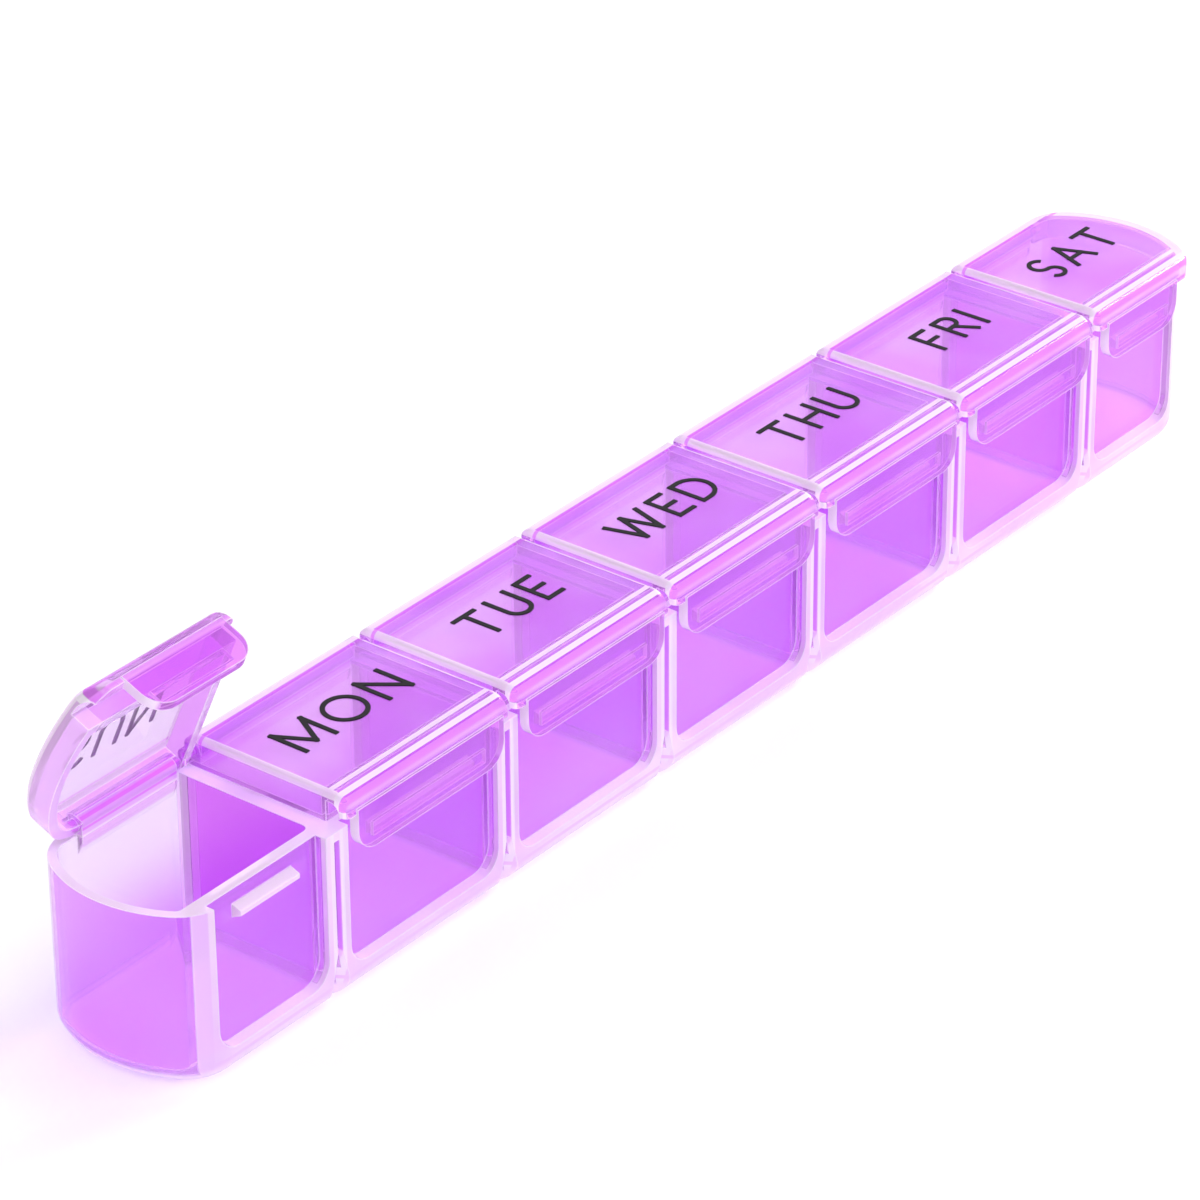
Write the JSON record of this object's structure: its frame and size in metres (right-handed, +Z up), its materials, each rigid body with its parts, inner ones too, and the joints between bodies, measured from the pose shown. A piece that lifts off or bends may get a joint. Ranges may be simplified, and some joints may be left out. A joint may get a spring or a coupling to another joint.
{
  "type": "pill organizer",
  "caption": "Slim travel pill organizer: a bowed-end tray of day compartments in a row, each under its own hinged snap lid with a front latch tab.",
  "frame": {"origin": "centre of the tray's underside", "axes": "+Z up, +X along the row of compartments from the first day to the last, -Y towards the latch tabs, hinges at +Y"},
  "size_m": [0.203, 0.026, 0.0461],
  "materials": {
    "tray_plastic": "clear violet moulding, polished",
    "lid_plastic": "clear violet moulding, polished",
    "pin_plastic": "smooth magenta-violet plastic rod",
    "legend_ink": "thin raised black print"
  },
  "bodies": {
    "tray": {"tray": "tray_plastic"},
    "lid_sun_set": {"lid_sun": "lid_plastic", "hinge_pin_sun": "pin_plastic", "legend_sun": "legend_ink"},
    "lid_mon_set": {"lid_mon": "lid_plastic", "hinge_pin_mon": "pin_plastic", "legend_mon": "legend_ink"},
    "lid_tue_set": {"lid_tue": "lid_plastic", "hinge_pin_tue": "pin_plastic", "legend_tue": "legend_ink"},
    "lid_wed_set": {"lid_wed": "lid_plastic", "hinge_pin_wed": "pin_plastic", "legend_wed": "legend_ink"},
    "lid_thu_set": {"lid_thu": "lid_plastic", "hinge_pin_thu": "pin_plastic", "legend_thu": "legend_ink"},
    "lid_fri_set": {"lid_fri": "lid_plastic", "hinge_pin_fri": "pin_plastic", "legend_fri": "legend_ink"},
    "lid_sat_set": {"lid_sat": "lid_plastic", "hinge_pin_sat": "pin_plastic", "legend_sat": "legend_ink"}
  },
  "joints": [
    {"name": "lid_sun_hinge", "type": "hinge", "parent": "tray", "child": "lid_sun_set", "pos_m": [-0.09, 0.0106, 0.0239], "axis": [-1, 0, 0], "range_deg": [-66.5, 38.5]},
    {"name": "lid_mon_hinge", "type": "hinge", "parent": "tray", "child": "lid_mon_set", "pos_m": [-0.06, 0.0106, 0.0239], "axis": [-1, 0, 0], "range_deg": [0, 105]},
    {"name": "lid_tue_hinge", "type": "hinge", "parent": "tray", "child": "lid_tue_set", "pos_m": [-0.03, 0.0106, 0.0239], "axis": [-1, 0, 0], "range_deg": [0, 105]},
    {"name": "lid_wed_hinge", "type": "hinge", "parent": "tray", "child": "lid_wed_set", "pos_m": [0, 0.0106, 0.0239], "axis": [-1, 0, 0], "range_deg": [0, 105]},
    {"name": "lid_thu_hinge", "type": "hinge", "parent": "tray", "child": "lid_thu_set", "pos_m": [0.03, 0.0106, 0.0239], "axis": [-1, 0, 0], "range_deg": [0, 105]},
    {"name": "lid_fri_hinge", "type": "hinge", "parent": "tray", "child": "lid_fri_set", "pos_m": [0.06, 0.0106, 0.0239], "axis": [-1, 0, 0], "range_deg": [0, 105]},
    {"name": "lid_sat_hinge", "type": "hinge", "parent": "tray", "child": "lid_sat_set", "pos_m": [0.09, 0.0106, 0.0239], "axis": [-1, 0, 0], "range_deg": [0, 105]}
  ]
}
